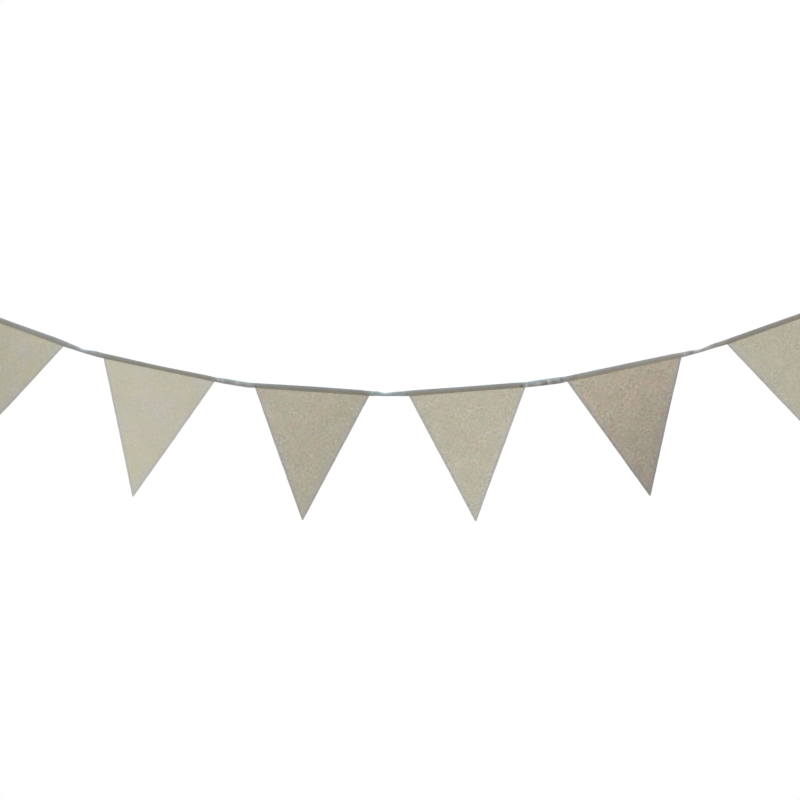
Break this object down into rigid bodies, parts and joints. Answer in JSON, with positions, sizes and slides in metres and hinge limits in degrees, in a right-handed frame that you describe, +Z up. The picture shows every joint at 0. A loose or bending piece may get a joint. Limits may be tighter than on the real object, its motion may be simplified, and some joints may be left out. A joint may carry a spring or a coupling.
{
  "type": "fabric bunting",
  "caption": "Hanging bunting: triangular linen-look pennants sewn into a folded grey tape that sags in a shallow curve between a hanging loop at each end.",
  "frame": {"origin": "middle of the left hanging loop's eye, where the hook that holds the left end passes", "axes": "+X along the bunting from its left end to its right end, +Y to the back of the pennants, +Z up"},
  "size_m": [1.6763, 0.0171, 0.4139],
  "materials": {
    "pennant_cloth": "matte undyed linen-look plain weave",
    "tape_cloth": "matte grey woven tape with a faint sheen"
  },
  "bodies": {
    "root": {"tape": "tape_cloth", "pennant_1": "pennant_cloth", "pennant_2": "pennant_cloth", "pennant_3": "pennant_cloth", "pennant_4": "pennant_cloth", "pennant_5": "pennant_cloth", "pennant_6": "pennant_cloth", "loop_left": "tape_cloth", "loop_right": "tape_cloth"}
  },
  "joints": []
}
